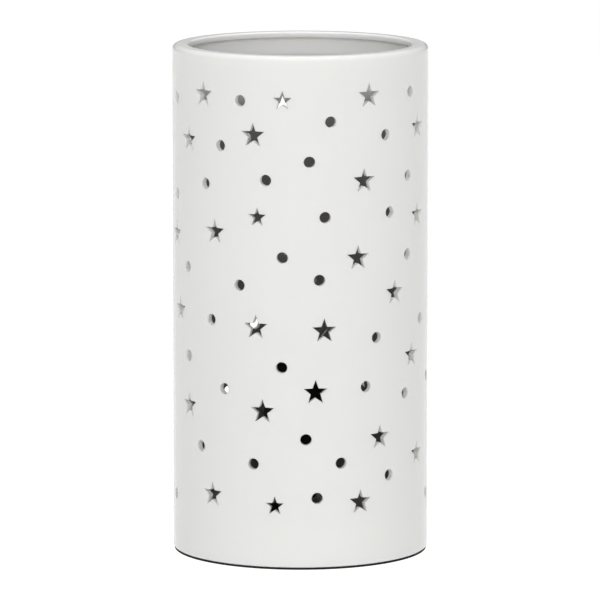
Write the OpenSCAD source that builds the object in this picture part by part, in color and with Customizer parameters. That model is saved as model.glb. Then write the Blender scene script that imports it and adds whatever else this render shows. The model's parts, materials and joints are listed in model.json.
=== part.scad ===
// Pierced ceramic table lamp with a screw-base lampholder and bulb.
// Millimetres, +Z up, front towards -Y, origin at the centre of the foot on the table.

/* [Ceramic body] */
// Outer diameter of the ceramic cylinder
body_d = 112; // [108:1:124]
// Height of the lamp from the table to the rim
body_h = 223.5; // [218:0.5:240]
// Wall thickness of the pierced cylinder
wall_t = 3; // [2.4:0.1:4]
// Radius of the open mouth inside the rim
mouth_r = 48.9; // [46:0.1:49.5]
// Thickness of the rim that turns inwards at the mouth
lip_t = 2.9; // [2.8:0.1:4]
// Rounding of the outer top edge
rim_round = 2.2; // [1.4:0.1:2.4]

/* [Foot] */
// Thickness of the black foam ring under the foot
pad_t = 0.9; // [0.6:0.1:1.5]
// How far the foam ring sits inside the foot's edge
pad_inset = 0.5; // [0.4:0.1:3]
// Width of the thick foot wall
foot_w = 9; // [8:0.5:11]
// Height of the underside of the floor
floor_z = 13; // [13:0.5:14]
// Thickness of the floor
floor_t = 3.5; // [3:0.5:3.5]

/* [Pierced pattern] */
// Tip radius of a large star
star_r = 5.4; // [4.6:0.1:5.6]
// Tip radius of a small star
small_star_r = 4.1; // [3.4:0.1:4.4]
// Inner radius of a star as a share of its tip radius
star_waist = 0.42; // [0.38:0.01:0.5]
// How much taller a star is than a regular one
star_stretch = 1.03; // [1:0.01:1.08]
// Radius of a round hole
dot_r = 2.45; // [2:0.05:2.7]

/* [Cord inlet] */
// Radius of the grommet's hole for the cord
cord_r = 3.1; // [2.6:0.1:3.3]
// Height of the cord inlet
cord_z = 7; // [6.9:0.1:7.2]

/* [Lampholder] */
// Outer radius of the lampholder
holder_r = 16.3; // [16:0.1:17]
// Height of the lampholder's top rim
holder_top_z = 84; // [83.5:0.1:84.5]

/* [Bulb] */
// Radius of the bulb's ball
ball_r = 22.5; // [22:0.1:24]
// Height of the middle of the bulb's ball
ball_z = 116.3; // [115:0.1:118]
// Number of light filaments
filament_count = 4; // [4:1:6]

/* [Hidden] */
$fn = 96;
eps = 0.5;
fit = 0.05;

body_r = body_d / 2;
inner_r = body_r - wall_t;
cut_r = mouth_r - 1;
floor_top = floor_z + floor_t;
foot_in_r = body_r - foot_w;
foot_round = 0.9;
tube_hole_r = 5.3;
inlet_hole_r = 4.5;
inlet_sink_r = 5.9;
inlet_sink_depth = 2.2;

// The pierced pattern as one panel: [angle from the front, height on a body 221 mm high].
pattern_h = 221;
large_stars = [[-74, 140.5], [-48.5, 203], [32, 203.5], [-21.5, 187], [-59.7, 182.6], [65, 187.6],
               [29.5, 167.2], [-41.5, 144.4], [65, 149.5], [26.5, 134.2], [47, 117.8], [-69, 108],
               [-20.2, 104.6], [10.7, 103.4], [59.8, 89.2], [6.8, 76.9], [-59.7, 67.4],
               [-17.1, 68.4], [38.2, 55.8], [65.2, 45.5], [-43.1, 30.4], [27.8, 28.5]];
small_stars = [[-8, 202.1], [-19.5, 152], [-11.5, 27.6]];
dots = [[-73, 199.5], [-73, 158], [-76.5, 26], [80, 77.5], [79.5, 26],
        [-27.6, 201.6], [58.4, 203.5], [13.5, 193], [-38, 181.8], [41.1, 186.2], [4, 176],
        [-15.5, 168], [-47, 164.8], [56.5, 167.4], [11, 152.2], [43.7, 152.7], [-8, 135],
        [56.2, 133.4], [-61, 127.4], [-28, 122.4], [8.5, 125.3], [-43.5, 106.4], [36.1, 99.2],
        [69, 104], [-60.3, 88.8], [-8.3, 87.7], [-36, 77.1], [30.4, 78.4], [54.5, 73.2],
        [2.5, 56.6], [-50.5, 50.7], [-21.3, 45.5], [18.4, 46], [43.5, 38.8], [7.5, 31.1]];
// The panel is repeated round the body: [turn, rise, lowest angle used, highest angle used].
panels = [[0, 0, -77, 81], [210, 0, -71, -19], [203, -2, -18, 5], [206, 0, 6, 63], [163, 0, -62, -27]];
// Two more round holes at the back: [angle from the front, height].
back_dots = [[202.5, 92], [217.5, 62.5]];

stud_r = 4.9;
stud_bore_r = 4;
stud_z0 = 4.6;
stud_z1 = 30;
rubber_t = 1.5;
rubber_r = 14;
washer_t = 1;
washer_r = 9.8;
lock_t = 0.8;
nut_t = 3.5;
nut_af = 14;
nut_low_z = floor_z - rubber_t - washer_t - lock_t - nut_t;
nut_high_z = floor_top + rubber_t + washer_t;

cap_z0 = nut_high_z + nut_t + 0.3;
cap_z1 = 46;
neck_r = 7.6;
neck_z1 = cap_z0 + 5;
cap_wall = 2.2;
cap_in_r = 13.9;
lock_screw_z = cap_z0 + 2.8;
lock_screw_r = 1.5;

shell_in_r = 14.4;
shell_mouth_r = 9.2;
shell_lid_t = 2.4;

core_r = 13.8;
core_z0 = 48;
core_z1 = 58;
cup_r = 9.6;
cup_in_r = 8;
cup_z1 = 80;
clamp_x = 8;
clamp_w = 5;
clamp_z0 = 38.5;

thread_pitch = 2.8;
socket_z0 = 58.8;
socket_turns = 7;
socket_ridge_r = 6.85;
socket_valley_r = 7.45;
sheet_t = 0.35;

tip_z = 61.3;
contact_r = 2.4;
insulator_z0 = tip_z + 1.2;
bcap_z0 = tip_z + 4.2;
bcap_turns = 5;
bcap_crest_r = 6.55;
bcap_root_r = 6.05;
bcap_thread_z1 = bcap_z0 + bcap_turns * thread_pitch;
skirt_r = 8.2;
skirt_z0 = bcap_thread_z1 + 2.4;
skirt_z1 = 86.5;
glass_t = 0.8;
glass_neck_r = 7.5;
glass_z0 = 83.5;
neck_top_z = 88;
stem_z0 = 84.5;
stem_top_z = 104;
filament_r = 0.9;
filament_z0 = 100;
filament_len = 29;
filament_tilt = 5;
filament_ring_r = 4.5;

function arc(cx, cy, r, a0, a1, n) =
    [for (i = [0:n]) let (a = a0 + (a1 - a0) * i / n) [cx + r * cos(a), cy + r * sin(a)]];

function bezier(p0, p1, p2, p3, n) =
    [for (i = [0:n]) let (t = i / n, u = 1 - t)
        p0 * u * u * u + p1 * 3 * u * u * t + p2 * 3 * u * t * t + p3 * t * t * t];

// Rounded screw-thread outline: ridges at hi and valleys at lo, rising from z0.
function ridges(z0, pitch, turns, lo, hi, n) =
    [for (i = [0:turns * n]) let (a = 360 * i / n)
        [(lo + hi) / 2 - (hi - lo) / 2 * cos(a), z0 + pitch * i / n]];

function reversed(list) = [for (i = [len(list) - 1:-1:0]) list[i]];

function shifted(list, dx) = [for (p = list) [p[0] + dx, p[1]]];

function star_points(r) =
    [for (i = [0:9]) let (a = 90 + 36 * i, k = i % 2 == 0 ? 1 : star_waist)
        [r * k * cos(a), r * k * sin(a) * star_stretch]];

module ring(z0, z1, r_in, r_out) {
    translate([0, 0, z0]) difference() {
        cylinder(h = z1 - z0, r = r_out);
        translate([0, 0, -eps]) cylinder(h = z1 - z0 + 2 * eps, r = r_in);
    }
}

// A cutter through the wall at one angle and height.
module through_wall(angle, z) {
    rotate([0, 0, angle])
        translate([0, -cut_r, z])
            rotate([90, 0, 0])
                linear_extrude(height = body_r + 1 - cut_r) children();
}

module drill_wall(angle, z, r) {
    rotate([0, 0, angle])
        translate([0, -cut_r, z])
            rotate([90, 0, 0]) cylinder(h = body_r + 1 - cut_r, r = r, $fn = 48);
}

function in_panel(list, a0, a1) = [for (p = list) if (p[0] >= a0 && p[0] <= a1) p];

module pierced_panel(turn, rise, a0, a1) {
    k = body_h / pattern_h;
    for (p = in_panel(large_stars, a0, a1))
        through_wall(p[0] + turn, p[1] * k + rise) polygon(star_points(star_r));
    for (p = in_panel(small_stars, a0, a1))
        through_wall(p[0] + turn, p[1] * k + rise) polygon(star_points(small_star_r));
    for (p = in_panel(dots, a0, a1))
        drill_wall(p[0] + turn, p[1] * k + rise, dot_r);
}

module ceramic_profile() {
    lip_z = body_h - lip_t;
    lip_round = 0.9;
    lip_low_round = 0.4;
    groove_r = mouth_r + 1.4;
    groove_low_z = lip_z - 0.7;
    throat_r = mouth_r + 0.6;
    throat_z = groove_low_z - 6;
    throat_low_z = groove_low_z - 13;
    throat = bezier([throat_r, throat_z], [throat_r, throat_z - 3],
                    [inner_r, throat_low_z + 4], [inner_r, throat_low_z], 10);
    polygon(concat(
        [[foot_in_r + 0.8, pad_t]],
        arc(body_r - foot_round, pad_t + foot_round, foot_round, -90, 0, 6),
        arc(body_r - rim_round, body_h - rim_round, rim_round, 0, 90, 8),
        arc(mouth_r + lip_round, body_h - lip_round, lip_round, 90, 180, 6),
        arc(mouth_r + lip_low_round, lip_z + lip_low_round, lip_low_round, 180, 270, 3),
        [[groove_r, lip_z], [groove_r, groove_low_z], [throat_r + 0.3, groove_low_z],
         [throat_r, groove_low_z - 0.3]],
        throat,
        arc(inner_r - 3, floor_top + 3, 3, 0, -90, 6),
        [[tube_hole_r, floor_top], [tube_hole_r, floor_z]],
        arc(foot_in_r - 2, floor_z - 2, 2, 90, 0, 5),
        [[foot_in_r, pad_t + 0.8]]));
}

module inlet_cutter() {
    translate([0, foot_in_r - 3, cord_z]) rotate([-90, 0, 0])
        cylinder(h = foot_w + 6, r = inlet_hole_r);
    translate([0, body_r - inlet_sink_depth, cord_z]) rotate([-90, 0, 0])
        cylinder(h = inlet_sink_depth + 2, r = inlet_sink_r);
}

module ceramic_body() {
    color([0.93, 0.93, 0.92]) difference() {
        rotate_extrude($fn = 180) ceramic_profile();
        for (p = panels) pierced_panel(p[0], p[1], p[2], p[3]);
        for (p = back_dots) drill_wall(p[0], p[1], dot_r);
        inlet_cutter();
    }
}

module foot_pad() {
    color([0.03, 0.03, 0.03])
        ring(0, pad_t, foot_in_r + 1.5, body_r - pad_inset);
}

module cord_grommet() {
    flange_r = inlet_sink_r - 0.4;
    inner_flange_t = 1.2;
    outer_flange_t = 1.4;
    y0 = foot_in_r - 0.4 - inner_flange_t;
    y1 = body_r - 0.5;
    color([0.06, 0.06, 0.06])
        translate([0, 0, cord_z]) rotate([-90, 0, 0]) difference() {
            union() {
                translate([0, 0, y0]) cylinder(h = y1 - y0, r = inlet_hole_r - 0.1);
                translate([0, 0, y0]) cylinder(h = inner_flange_t, r = flange_r);
                translate([0, 0, y1 - outer_flange_t]) cylinder(h = outer_flange_t, r = flange_r);
            }
            translate([0, 0, y0 - eps]) cylinder(h = y1 - y0 + 2 * eps, r = cord_r);
        }
}

module threaded_tube() {
    crests = reversed(ridges(stud_z0, 1, stud_z1 - stud_z0, stud_r - 0.3, stud_r, 2));
    color([0.72, 0.73, 0.75]) rotate_extrude()
        polygon(concat([[stud_bore_r, stud_z0], [stud_bore_r, stud_z1]], crests));
}

module tube_end_bush() {
    bush_t = 0.7;
    color([0.9, 0.9, 0.88]) {
        union() {
            ring(stud_z0 - 1.2, stud_z0, stud_bore_r - bush_t, stud_r + 0.6);
            ring(stud_z0 - 1.2, stud_z0 + 4, stud_bore_r - bush_t, stud_bore_r - fit);
        }
    }
}

module rubber_washers() {
    color([0.07, 0.07, 0.07])
        for (z = [floor_z - rubber_t + fit, floor_top + fit])
            ring(z, z + rubber_t - 2 * fit, stud_r + 0.2, rubber_r);
}

module steel_washers() {
    color([0.74, 0.75, 0.77])
        for (z = [floor_z - rubber_t - washer_t, floor_top + rubber_t])
            ring(z, z + washer_t, stud_r + 0.2, washer_r);
}

module lock_washer() {
    z = nut_low_z + nut_t;
    teeth = 10;
    color([0.68, 0.69, 0.71]) difference() {
        ring(z, z + lock_t, stud_r + 0.15, 9);
        for (i = [0:teeth - 1])
            rotate([0, 0, i * 360 / teeth])
                translate([9.3, 0, z - eps]) cylinder(h = lock_t + 2 * eps, r = 1.1, $fn = 24);
    }
}

module hex_nuts() {
    corner_r = nut_af / sqrt(3);
    color([0.76, 0.76, 0.76])
        for (z = [nut_low_z, nut_high_z])
            translate([0, 0, z]) difference() {
                intersection() {
                    linear_extrude(height = nut_t) circle(r = corner_r, $fn = 6);
                    rotate_extrude() polygon([[0, 0], [corner_r - 0.9, 0], [corner_r, 0.5],
                                              [corner_r, nut_t - 0.5],
                                              [corner_r - 0.9, nut_t], [0, nut_t]]);
                }
                translate([0, 0, -eps]) cylinder(h = nut_t + 2 * eps, r = stud_r + fit);
            }
}

module holder_cap_profile() {
    dome_z = cap_z1 - 6;
    dome = bezier([neck_r, neck_z1], [neck_r + 5, neck_z1 + 1], [holder_r, dome_z - 6],
                  [holder_r, dome_z], 10);
    cavity = bezier([stud_r + fit, neck_z1 + 3], [neck_r + 3, neck_z1 + 3.6],
                    [cap_in_r, dome_z - 4], [cap_in_r, dome_z + 1], 8);
    polygon(concat(
        [[neck_r - 0.8, cap_z0], [neck_r, cap_z0 + 0.8]],
        dome,
        [[holder_r, cap_z1 - 1], [holder_r - 0.8, cap_z1], [cap_in_r, cap_z1]],
        reversed(cavity),
        [[stud_r + fit, cap_z0]]));
}

module holder_cap() {
    rib_count = 24;
    color([0.03, 0.03, 0.03]) difference() {
        rotate_extrude() holder_cap_profile();
        translate([0, 0, lock_screw_z]) rotate([0, 90, 0])
            cylinder(h = neck_r + 2, r = lock_screw_r + fit, $fn = 32);
        for (i = [0:rib_count - 1])
            rotate([0, 0, i * 360 / rib_count])
                translate([holder_r + 0.6, 0, cap_z1 - 6.5]) cylinder(h = 4.5, r = 0.9, $fn = 20);
    }
}

module cap_lock_screw() {
    length = neck_r - stud_r - 0.1;
    color([0.8, 0.8, 0.8])
        translate([stud_r + fit, 0, lock_screw_z]) rotate([0, 90, 0]) difference() {
            cylinder(h = length, r = lock_screw_r, $fn = 32);
            translate([-lock_screw_r - 1, -0.3, length - 0.8])
                cube([2 * lock_screw_r + 2, 0.6, 2]);
        }
}

module holder_shell() {
    z0 = cap_z1 + 0.4;
    groove = [z0 + 6, z0 + 8.4];
    color([0.03, 0.03, 0.03]) difference() {
        rotate_extrude() polygon(concat(
            [[shell_in_r, z0], [holder_r - 0.6, z0], [holder_r, z0 + 0.6]],
            arc(holder_r - 1.4, holder_top_z - 1.4, 1.4, 0, 90, 6),
            [[shell_mouth_r + 0.8, holder_top_z], [shell_mouth_r, holder_top_z - 0.8],
             [shell_mouth_r, holder_top_z - shell_lid_t],
             [shell_in_r, holder_top_z - shell_lid_t]]));
        for (z = groove) ring(z, z + 0.9, holder_r - 0.5, holder_r + 1);
    }
}

module terminal_core() {
    color([0.1, 0.1, 0.1]) difference() {
        union() {
            translate([0, 0, core_z0]) cylinder(h = core_z1 - core_z0, r = core_r);
            translate([0, 0, core_z1 - 1]) cylinder(h = cup_z1 - core_z1 + 1, r = cup_r);
        }
        translate([0, 0, core_z1]) cylinder(h = cup_z1, r = cup_in_r);
        translate([-4, 0, core_z0 - 1]) cylinder(h = 12, r = 1.5 + fit, $fn = 32);
        translate([6.8, -2.1, core_z0 - 1]) cube([0.8, 4.2, 12]);
        for (s = [-1, 1])
            translate([0, s * 11, core_z0 - 1]) cylinder(h = 12, r = 1.6, $fn = 32);
    }
}

module terminal_clamps() {
    color([0.78, 0.62, 0.3])
        for (s = [-1, 1]) difference() {
            translate([s * clamp_x - clamp_w / 2, -clamp_w / 2, clamp_z0])
                cube([clamp_w, clamp_w, core_z0 - clamp_z0]);
            translate([s * (clamp_x - 0.8), 0, clamp_z0 - 1]) cylinder(h = 8, r = 1.3, $fn = 32);
            translate([s * clamp_x, 0, clamp_z0 + 3]) rotate([0, s * 90, 0])
                cylinder(h = clamp_w, r = 1.3 + fit, $fn = 32);
        }
}

module terminal_screws() {
    x0 = clamp_x + 0.6;
    x1 = clamp_x + clamp_w / 2 + 0.1;
    color([0.8, 0.8, 0.78])
        for (s = [0, 180]) rotate([0, 0, s])
            translate([0, 0, clamp_z0 + 3]) rotate([0, 90, 0]) difference() {
                union() {
                    translate([0, 0, x0]) cylinder(h = x1 - x0 + 0.5, r = 1.3, $fn = 32);
                    translate([0, 0, x1]) cylinder(h = 1.2, r = 2, $fn = 32);
                }
                translate([-3, -0.3, x1 + 0.7]) cube([6, 0.6, 2]);
            }
}

module screw_shell() {
    inner = ridges(socket_z0 + 0.8, thread_pitch, socket_turns, socket_ridge_r,
                   socket_valley_r, 8);
    color([0.8, 0.78, 0.7]) rotate_extrude()
        polygon(concat(
            [[socket_ridge_r - 1, socket_z0], [socket_ridge_r + sheet_t, socket_z0]],
            shifted(inner, sheet_t),
            reversed(inner),
            [[socket_ridge_r - 1, socket_z0 + sheet_t]]));
}

module centre_contact() {
    top = tip_z - 0.3;
    leaf_t = 0.4;
    color([0.8, 0.64, 0.32]) {
        union() {
            translate([0, 2, 0]) rotate([90, 0, 0]) linear_extrude(height = 4)
                polygon([[-5.4, core_z1], [-2, core_z1], [0.8, top - leaf_t], [2.4, top - leaf_t],
                         [3.2, top - 1.2], [3.2, top - 0.8], [2.6, top], [0.6, top],
                         [-2.2, core_z1 + leaf_t], [-5.4, core_z1 + leaf_t]]);
            translate([-4, 0, core_z0]) cylinder(h = core_z1 - core_z0 + 0.2, r = 1.5, $fn = 32);
        }
    }
}

module side_contact() {
    color([0.8, 0.64, 0.32])
        translate([0, 2, 0]) rotate([90, 0, 0]) linear_extrude(height = 4)
            polygon([[6.9, core_z0], [7.5, core_z0], [7.5, core_z1 + 0.6], [5, core_z1 + 0.6],
                     [5, core_z1 + 0.1], [6.9, core_z1 + 0.1]]);
}

// Outline of the bulb's glass from the neck to the crown, moved inwards by d.
function glass_outline(d) =
    let (r = ball_r - d, a0 = -46, px = r * cos(a0), pz = ball_z + r * sin(a0), k = 7)
    concat(bezier([glass_neck_r - d, neck_top_z], [glass_neck_r - d, neck_top_z + 4],
                  [px - k * cos(a0 + 90), pz - k * sin(a0 + 90)], [px, pz], 8),
           arc(0, ball_z, r, a0 + 4, 89, 24));

module bulb_glass() {
    color([0.85, 0.9, 0.92, 0.35]) rotate_extrude()
        polygon(concat([[glass_neck_r, glass_z0]], glass_outline(0),
                       [[0, ball_z + ball_r], [0, ball_z + ball_r - glass_t]],
                       reversed(glass_outline(glass_t)),
                       [[glass_neck_r - glass_t, glass_z0]]));
}

module bulb_cap() {
    outer = ridges(bcap_z0, thread_pitch, bcap_turns, bcap_root_r, bcap_crest_r, 8);
    color([0.82, 0.82, 0.8]) rotate_extrude()
        polygon(concat(
            [[bcap_root_r - 1.2, bcap_z0]],
            outer,
            [[bcap_root_r, bcap_thread_z1 + 0.6], [skirt_r, skirt_z0], [skirt_r, skirt_z1],
             [skirt_r - sheet_t, skirt_z1], [skirt_r - sheet_t, skirt_z0 + 0.1],
             [bcap_root_r - sheet_t, bcap_thread_z1 + 0.7]],
            reversed(shifted(outer, -sheet_t)),
            [[bcap_root_r - 1.2, bcap_z0 + sheet_t]]));
}

module bulb_insulator() {
    color([0.02, 0.02, 0.03]) translate([0, 0, insulator_z0])
        rotate_extrude() polygon([[1, 0], [3.2, 0], [bcap_root_r - 0.2, bcap_z0 - insulator_z0],
                                  [1, bcap_z0 - insulator_z0]]);
}

module bulb_contact() {
    color([0.75, 0.75, 0.76]) rotate_extrude()
        polygon(concat([[0, tip_z]], [[contact_r - 0.9, tip_z], [contact_r, tip_z + 0.6],
                [contact_r, insulator_z0], [0.9, insulator_z0], [0.9, bcap_z0], [0, bcap_z0]]));
}

module bulb_stem() {
    flare_r = glass_neck_r - glass_t - 0.3;
    flare = bezier([flare_r, stem_z0], [flare_r - 1, stem_z0 + 3], [2, stem_z0 + 3],
                   [1.8, stem_z0 + 8], 8);
    color([0.85, 0.9, 0.92, 0.4]) rotate_extrude()
        polygon(concat([[0, stem_z0]], flare, arc(0, stem_top_z, 1.8, 0, 90, 5)));
}

module bulb_driver() {
    color([0.1, 0.35, 0.2]) {
        translate([-4.4, -0.6, bcap_z0 + 2]) cube([8.8, 1.2, 12]);
        translate([0, 2.9, bcap_z0 + 3]) cylinder(h = 9, r = 2.2, $fn = 32);
    }
}

module filaments() {
    color([0.95, 0.8, 0.35])
        for (i = [0:filament_count - 1])
            rotate([0, 0, 45 + i * 360 / filament_count])
                translate([filament_ring_r, 0, filament_z0])
                    rotate([0, filament_tilt, 0])
                        cylinder(h = filament_len, r = filament_r, $fn = 32);
}

module filament_wires() {
    wire_r = 0.3;
    top_z = filament_z0 + filament_len * cos(filament_tilt) + 0.6;
    top_ring_r = filament_ring_r + filament_len * sin(filament_tilt);
    low_z = filament_z0 - wire_r - 0.2;
    color([0.7, 0.7, 0.72]) union() {
        translate([0, 0, stem_top_z + 1.8])
            cylinder(h = top_z - stem_top_z - 1.8, r = wire_r, $fn = 24);
        for (i = [0:filament_count - 1]) rotate([0, 0, 45 + i * 360 / filament_count]) {
            translate([0, 0, top_z]) rotate([0, 90, 0])
                cylinder(h = top_ring_r + 0.5, r = wire_r, $fn = 24);
            translate([1.8, 0, low_z]) rotate([0, 90, 0])
                cylinder(h = filament_ring_r - 1.3, r = wire_r, $fn = 24);
        }
    }
}

ceramic_body();
foot_pad();
cord_grommet();
threaded_tube();
tube_end_bush();
rubber_washers();
steel_washers();
lock_washer();
hex_nuts();
holder_cap();
cap_lock_screw();
holder_shell();
terminal_core();
terminal_clamps();
terminal_screws();
screw_shell();
centre_contact();
side_contact();
bulb_glass();
bulb_cap();
bulb_insulator();
bulb_contact();
bulb_stem();
bulb_driver();
filaments();
filament_wires();
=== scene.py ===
"""Pierced ceramic table lamp: materials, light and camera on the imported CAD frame.

Lengths are metres and +Z is up. Every piece of the lamp is a CAD node, which keeps its mesh and
its place. This script gives the nodes their materials and adds the floor, lights and camera.
"""
import json
import math

import bpy
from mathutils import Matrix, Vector


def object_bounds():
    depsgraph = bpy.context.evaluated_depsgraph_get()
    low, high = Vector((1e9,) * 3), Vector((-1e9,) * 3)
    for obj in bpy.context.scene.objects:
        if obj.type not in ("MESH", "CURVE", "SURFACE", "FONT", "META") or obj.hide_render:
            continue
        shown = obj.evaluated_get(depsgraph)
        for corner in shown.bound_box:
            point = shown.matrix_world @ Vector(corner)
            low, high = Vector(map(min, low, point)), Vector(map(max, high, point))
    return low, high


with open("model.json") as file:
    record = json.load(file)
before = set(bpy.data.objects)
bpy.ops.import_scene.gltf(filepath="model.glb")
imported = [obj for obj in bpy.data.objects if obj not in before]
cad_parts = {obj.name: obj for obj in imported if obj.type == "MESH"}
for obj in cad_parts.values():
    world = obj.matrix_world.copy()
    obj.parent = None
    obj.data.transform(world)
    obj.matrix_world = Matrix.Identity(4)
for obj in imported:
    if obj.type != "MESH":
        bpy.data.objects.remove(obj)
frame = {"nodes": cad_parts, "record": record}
cad_lo, cad_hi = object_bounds()
middle = (cad_lo + cad_hi) / 2

# The ceramic's outer radius and the thickness of its wall.
BODY_RADIUS = cad_hi.x
WALL = 0.003
# Painted shade: inside, from a little under the rim down, the surface is painted a dark warm grey
# for the shade deep in the lamp.
PAINTED_SHADE_RADIUS = BODY_RADIUS - WALL + 0.0003
PAINTED_SHADE_TOP = cad_hi.z - 0.029
PAINTED_SHADE_FADE = 0.007
# Painted light: the cut edges, the rim and the mouth are painted near-white to lift the shade they
# get.
PAINTED_LIGHT_RADIUS = BODY_RADIUS - 0.0013
PAINTED_LIGHT_FADE = 0.001


# ---------------------------------------------------------------- node helpers
class Graph:
    """A material's node tree, with short calls for adding and joining nodes."""

    def __init__(self, name):
        self.mat = bpy.data.materials.new(name)
        self.mat.use_nodes = True
        self.nodes = self.mat.node_tree.nodes
        self.links = self.mat.node_tree.links
        self.bsdf = self.nodes["Principled BSDF"]

    def add(self, kind, **inputs):
        """Add a node and set its inputs; an underscore in a name stands for a space."""
        node = self.nodes.new(kind)
        for key, value in inputs.items():
            node.inputs[key.replace("_", " ")].default_value = value
        return node

    def link(self, source, target):
        self.links.new(source, target)

    def set(self, **inputs):
        """Set shader inputs that are the same all over the surface."""
        for key, value in inputs.items():
            self.bsdf.inputs[key.replace("_", " ")].default_value = value

    def feed(self, **inputs):
        """Link node outputs to shader inputs."""
        for key, source in inputs.items():
            self.link(source, self.bsdf.inputs[key.replace("_", " ")])

    def coords(self):
        return self.add("ShaderNodeTexCoord").outputs["Object"]

    def noise(self, scale, detail=4.0, roughness=0.55, stretch=None):
        source = self.coords()
        if stretch:
            mapping = self.add("ShaderNodeMapping", Scale=stretch)
            self.link(source, mapping.inputs["Vector"])
            source = mapping.outputs["Vector"]
        noise = self.add("ShaderNodeTexNoise", Scale=scale, Detail=detail, Roughness=roughness)
        self.link(source, noise.inputs["Vector"])
        return noise.outputs["Fac"]

    def ramp(self, fac, start, start_colour, end, end_colour):
        """A colour that goes from one to the other as fac goes from start to end."""
        node = self.add("ShaderNodeValToRGB")
        stops = ((start, start_colour), (end, end_colour))
        for element, (position, colour) in zip(node.color_ramp.elements, stops):
            element.position = position
            element.color = (*colour, 1.0)
        self.link(fac, node.inputs["Fac"])
        return node.outputs["Color"]

    def grey(self, fac, low, high, start=0.3, end=0.7):
        """A number that goes from low to high as fac goes from start to end."""
        node = self.add("ShaderNodeMapRange", From_Min=start, From_Max=end, To_Min=low, To_Max=high)
        self.link(fac, node.inputs["Value"])
        return node.outputs["Result"]

    def mix(self, fac, a, b, blend="MIX"):
        """Blend a with b, which are colours or node outputs; fac is a number or an output."""
        node = self.nodes.new("ShaderNodeMix")
        node.data_type = "RGBA"
        node.blend_type = blend
        for index, value in ((0, fac), (6, a), (7, b)):
            socket = node.inputs[index]
            if isinstance(value, tuple):
                socket.default_value = (*value, 1.0)
            elif isinstance(value, float):
                socket.default_value = value
            else:
                self.link(value, socket)
        return node.outputs[2]

    def bump(self, height, strength, distance, normal=None):
        node = self.add("ShaderNodeBump", Strength=strength, Distance=distance)
        self.link(height, node.inputs["Height"])
        if normal is not None:
            self.link(normal, node.inputs["Normal"])
        return node.outputs["Normal"]

    def edge(self, radius):
        """A normal rounded to that radius, and a mask from 0 to 1 that is high on the edges."""
        bevel = self.add("ShaderNodeBevel", Radius=radius)
        bevel.samples = 6
        geometry = self.nodes.new("ShaderNodeNewGeometry")
        dot = self.nodes.new("ShaderNodeVectorMath")
        dot.operation = "DOT_PRODUCT"
        self.link(bevel.outputs["Normal"], dot.inputs[0])
        self.link(geometry.outputs["Normal"], dot.inputs[1])
        return bevel.outputs["Normal"], self.grey(dot.outputs["Value"], 1.0, 0.0, 0.80, 0.995)

    def from_axis(self, place):
        """The distance from the lamp's axis."""
        flat = self.nodes.new("ShaderNodeVectorMath")
        flat.operation = "MULTIPLY"
        flat.inputs[1].default_value = (1.0, 1.0, 0.0)
        self.link(place, flat.inputs[0])
        length = self.nodes.new("ShaderNodeVectorMath")
        length.operation = "LENGTH"
        self.link(flat.outputs["Vector"], length.inputs[0])
        return length.outputs["Value"]

    def product(self, a, b):
        node = self.nodes.new("ShaderNodeMath")
        node.operation = "MULTIPLY"
        self.link(a, node.inputs[0])
        self.link(b, node.inputs[1])
        return node.outputs["Value"]


# ---------------------------------------------------------------- materials
def wear(name, base, worn, rough, metallic=0.0, grain=900.0, grain_depth=0.00004,
         edge=0.0003, patch=60.0, spec=0.5, stretch=None):
    """A solid material with mottled colour and roughness, fine grain and rubbed edges.

    grain and patch are noise scales, edge is the width of the rubbed edge and stretch
    draws the grain out along an axis.
    """
    darker, lighter = 0.82, 1.14
    smoother, rougher = 0.8, 1.2
    g = Graph(name)
    patchy = g.noise(patch, 5.0)
    fine = g.noise(grain, 3.0, 0.6, stretch)
    normal, mask = g.edge(edge)
    body = g.ramp(patchy, 0.32, tuple(c * darker for c in base),
                  0.68, tuple(min(1.0, c * lighter) for c in base))
    g.feed(Base_Color=g.mix(mask, body, worn),
           Roughness=g.grey(patchy, rough * smoother, min(1.0, rough * rougher)),
           Normal=g.bump(fine, 0.35, grain_depth, normal))
    g.set(Metallic=metallic, Specular_IOR_Level=spec)
    return g.mat


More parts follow.
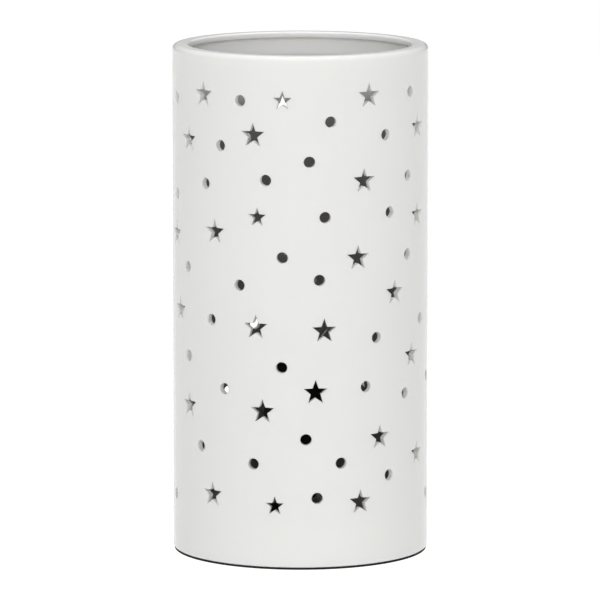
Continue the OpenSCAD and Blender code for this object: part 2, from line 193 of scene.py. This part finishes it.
def glazed_ceramic():
    """White glaze outside; painted light, near-white, in the holes, on the rim and in the mouth;
    painted shade, a dark warm grey, inside.
    """
    g = Graph("glaze_white")
    place = g.coords()
    axes = g.add("ShaderNodeSeparateXYZ")
    g.link(place, axes.inputs["Vector"])
    radius = g.from_axis(place)
    # Painted shade: this mask paints the inside, from a little under the rim down, a dark warm
    # grey.
    inside = g.grey(radius, 1.0, 0.0, PAINTED_SHADE_RADIUS, PAINTED_SHADE_RADIUS + 0.0002)
    below = g.grey(axes.outputs["Z"], 1.0, 0.0, PAINTED_SHADE_TOP - PAINTED_SHADE_FADE, PAINTED_SHADE_TOP + PAINTED_SHADE_FADE)
    painted_shade_mask = g.product(inside, below)
    # Painted light: this mask paints everything more than about 1.3 mm in from the outer face
    # near-white.
    painted_light_mask = g.grey(radius, 1.0, 0.0, PAINTED_LIGHT_RADIUS - PAINTED_LIGHT_FADE, PAINTED_LIGHT_RADIUS)

    normal, mask = g.edge(0.0007)
    cloudy = g.ramp(g.noise(14.0, 4.0, 0.5),
                    0.30, (0.775, 0.776, 0.762), 0.70, (0.797, 0.798, 0.785))
    flecks = g.ramp(g.noise(260.0, 6.0, 0.7), 0.22, (0.80, 0.795, 0.77), 0.30, (1.0, 1.0, 1.0))
    glaze = g.mix(mask, g.mix(0.5, cloudy, flecks, "MULTIPLY"), (0.775, 0.772, 0.755))
    glaze_with_painted_light = g.mix(painted_light_mask, glaze, (0.955, 0.952, 0.94))
    # Painted shade: the dark warm grey that stands in for the shade inside the lamp.
    painted_shade_grey = g.ramp(g.noise(120.0, 6.0, 0.65),
                  0.3, (0.25, 0.243, 0.233), 0.7, (0.295, 0.287, 0.275))

    gloss = g.grey(g.noise(55.0, 3.0), 0.15, 0.20)
    wavy = g.bump(g.noise(38.0, 2.0, 0.4), 0.10, 0.0006, normal)
    peel = g.bump(g.noise(420.0, 2.0, 0.5), 0.05, 0.0001, wavy)
    g.feed(Base_Color=g.mix(painted_shade_mask, glaze_with_painted_light, painted_shade_grey),
           Roughness=g.mix(painted_shade_mask, gloss, (0.9, 0.9, 0.9)),
           Normal=peel,
           Subsurface_Weight=g.grey(painted_shade_mask, 0.60, 0.0, 0.0, 1.0))
    g.set(Subsurface_Scale=0.004, Subsurface_Radius=(1.0, 0.95, 0.85), Specular_IOR_Level=0.20)
    return g.mat


def foam():
    """Black closed-cell foam."""
    g = Graph("foam_black")
    cells = g.add("ShaderNodeTexVoronoi", Scale=2600.0)
    g.link(g.coords(), cells.inputs["Vector"])
    depth = cells.outputs["Distance"]
    normal, mask = g.edge(0.0002)
    skin = g.ramp(depth, 0.1, (0.004, 0.004, 0.004), 0.7, (0.022, 0.022, 0.022))
    g.feed(Base_Color=g.mix(mask, skin, (0.030, 0.030, 0.030)),
           Roughness=g.grey(g.noise(200.0), 0.85, 1.0),
           Normal=g.bump(depth, 0.6, 0.0001, normal))
    g.set(Specular_IOR_Level=0.25)
    return g.mat


def clear_glass():
    """Blown glass with a slight wave."""
    g = Graph("glass_clear")
    tint = (0.97, 0.985, 0.98)
    g.feed(Base_Color=g.ramp(g.noise(30.0, 2.0), 0.35, tuple(c * 0.985 for c in tint), 0.65, tint),
           Roughness=g.grey(g.noise(80.0), 0.0, 0.02),
           Normal=g.bump(g.noise(45.0, 2.0), 0.03, 0.0003))
    g.set(IOR=1.47, Transmission_Weight=1.0)
    return g.mat


def phosphor():
    """Yellow silicone over rows of tiny chips."""
    g = Graph("phosphor_yellow")
    wave = g.add("ShaderNodeTexWave", Scale=420.0, Distortion=0.4)
    wave.bands_direction = "Z"
    g.link(g.coords(), wave.inputs["Vector"])
    chips = wave.outputs["Fac"]
    normal, mask = g.edge(0.0002)
    rows = g.ramp(chips, 0.2, (0.86, 0.56, 0.08), 0.8, (0.96, 0.74, 0.20))
    g.feed(Base_Color=g.mix(mask, rows, (0.95, 0.80, 0.40)),
           Roughness=g.grey(g.noise(300.0), 0.35, 0.5),
           Normal=g.bump(chips, 0.3, 0.00008, normal))
    g.set(Subsurface_Weight=0.2)
    return g.mat


def board():
    """Green circuit board with fine tracks."""
    g = Graph("board_green")
    tracks = g.add("ShaderNodeTexBrick", Scale=260.0, Mortar_Size=0.03,
                   Color1=(0.02, 0.16, 0.07, 1), Color2=(0.03, 0.20, 0.09, 1),
                   Mortar=(0.30, 0.26, 0.12, 1))
    g.link(g.coords(), tracks.inputs["Vector"])
    normal, mask = g.edge(0.00015)
    g.feed(Base_Color=g.mix(mask, tracks.outputs["Color"], (0.28, 0.26, 0.14)),
           Roughness=g.grey(g.noise(300.0), 0.3, 0.45),
           Normal=g.bump(tracks.outputs["Fac"], 0.2, 0.00005, normal))
    return g.mat


def floor_white():
    """A pale floor that glows softly, for a white background."""
    g = Graph("floor_white")
    mottle = g.noise(3.0)
    g.feed(Base_Color=g.ramp(mottle, 0.4, (0.17, 0.17, 0.169), 0.6, (0.19, 0.19, 0.189)),
           Emission_Color=g.ramp(mottle, 0.4, (0.985, 0.985, 0.98), 0.6, (1.0, 1.0, 0.995)),
           Roughness=g.grey(g.noise(20.0), 0.85, 0.95))
    g.set(Specular_IOR_Level=0.1, Emission_Strength=0.97)
    return g.mat


# Solid materials: base colour, colour of the rubbed edges, roughness and what wear() takes.
SOLIDS = {
    "rubber_black": dict(base=(0.018, 0.018, 0.018), worn=(0.035, 0.035, 0.035), rough=0.72,
                         grain=1400.0, grain_depth=0.00006, spec=0.3),
    "steel_zinc": dict(base=(0.56, 0.57, 0.59), worn=(0.74, 0.74, 0.75), rough=0.30, metallic=1.0,
                       grain=700.0, grain_depth=0.00002, edge=0.0002, patch=140.0),
    "thermoplastic_black": dict(base=(0.009, 0.009, 0.009), worn=(0.022, 0.022, 0.022), rough=0.42,
                                grain=1800.0, grain_depth=0.00003, edge=0.0004, patch=90.0,
                                spec=0.4),
    "insulator_dark": dict(base=(0.035, 0.032, 0.03), worn=(0.06, 0.055, 0.05), rough=0.55,
                           grain=1500.0),
    "bush_white": dict(base=(0.72, 0.71, 0.66), worn=(0.80, 0.79, 0.75), rough=0.5,
                       grain=1500.0, grain_depth=0.00003, edge=0.0002),
    "brass": dict(base=(0.66, 0.46, 0.17), worn=(0.80, 0.62, 0.30), rough=0.28, metallic=1.0,
                  grain=800.0, grain_depth=0.00002, edge=0.0002, patch=160.0),
    "brass_nickel": dict(base=(0.66, 0.64, 0.59), worn=(0.78, 0.77, 0.73), rough=0.22,
                         metallic=1.0, grain=500.0, grain_depth=0.00002, edge=0.00015,
                         patch=120.0, stretch=(1.0, 1.0, 6.0)),
    "vitrite_black": dict(base=(0.006, 0.006, 0.009), worn=(0.03, 0.03, 0.035), rough=0.10,
                          grain=300.0, spec=0.6),
    "solder": dict(base=(0.60, 0.60, 0.61), worn=(0.70, 0.70, 0.70), rough=0.38, metallic=1.0,
                   grain_depth=0.00008, patch=500.0),
    "wire": dict(base=(0.55, 0.55, 0.56), worn=(0.70, 0.70, 0.70), rough=0.25, metallic=1.0,
                 grain=2000.0, grain_depth=0.00001, edge=0.0001, patch=300.0),
}
LOOKS = {name: wear(name, **look) for name, look in SOLIDS.items()}
LOOKS.update(glaze_white=glazed_ceramic(), foam_black=foam(), glass_clear=clear_glass(),
             phosphor_yellow=phosphor(), board_green=board())

for part in frame["record"]["subparts"]:
    for slot in frame["nodes"][part["node"]].material_slots:
        slot.material = LOOKS[part["material_slot"]]

# ---------------------------------------------------------------- floor
FLOOR_HALF = 6.0
mesh = bpy.data.meshes.new("floor")
corners = [(x * FLOOR_HALF, y * FLOOR_HALF, 0) for x, y in ((-1, -1), (1, -1), (1, 1), (-1, 1))]
mesh.from_pydata(corners, [], [(0, 1, 2, 3)])
mesh.materials.append(floor_white())
floor = bpy.data.objects.new("floor", mesh)
floor.location.z = cad_lo.z
bpy.context.scene.collection.objects.link(floor)

# ---------------------------------------------------------------- light
# Azimuth 0 is the camera's side and positive is to its right, in degrees; the rest is in
# metres and watts.
SOFTBOXES = [
    dict(name="overhead", azimuth=0, elevation=88, distance=1.6, width=1.6, height=1.6, power=23.0),
    dict(name="front", azimuth=0, elevation=20, distance=2.4, width=2.0, height=1.0, power=17.5),
    dict(name="left", azimuth=-35, elevation=30, distance=1.5, width=0.72, height=1.2, power=2.0),
    dict(name="right", azimuth=44, elevation=30, distance=1.5, width=0.90, height=1.2, power=1.5),
]


def softbox(name, azimuth, elevation, distance, width, height, power):
    """A rectangular lamp that looks at the object's middle."""
    turn, rise = math.radians(azimuth), math.radians(elevation)
    data = bpy.data.lights.new(name, "AREA")
    data.shape = "RECTANGLE"
    data.size, data.size_y, data.energy = width, height, power
    lamp = bpy.data.objects.new(name, data)
    way = Vector((math.sin(turn) * math.cos(rise), -math.cos(turn) * math.cos(rise),
                  math.sin(rise)))
    lamp.location = middle + way * distance
    lamp.rotation_euler = (-way).to_track_quat("-Z", "Y").to_euler()
    bpy.context.scene.collection.objects.link(lamp)


for box in SOFTBOXES:
    softbox(**box)

world = bpy.data.worlds.new("studio")
world.use_nodes = True
sky = world.node_tree.nodes["Background"]
sky.inputs["Color"].default_value = (1.0, 1.0, 0.992, 1.0)
sky.inputs["Strength"].default_value = 0.14
bpy.context.scene.world = world

# ---------------------------------------------------------------- camera
DISTANCE = 2.6
EYE_HEIGHT = 0.497
AIM_HEIGHT = 0.10999
AIM_RIGHT = -0.00015
cam_data = bpy.data.cameras.new("camera")
cam_data.sensor_width = 36.0
cam_data.lens = 358.56
cam_data.clip_start, cam_data.clip_end = 0.05, 50.0
cam = bpy.data.objects.new("camera", cam_data)
cam.location = (middle.x, middle.y - DISTANCE, cad_lo.z + EYE_HEIGHT)
aim = Vector((middle.x + AIM_RIGHT, middle.y, cad_lo.z + AIM_HEIGHT))
cam.rotation_euler = (aim - cam.location).to_track_quat("-Z", "Y").to_euler()
bpy.context.scene.collection.objects.link(cam)
bpy.context.scene.camera = cam
bpy.context.scene.view_settings.view_transform = "Standard"
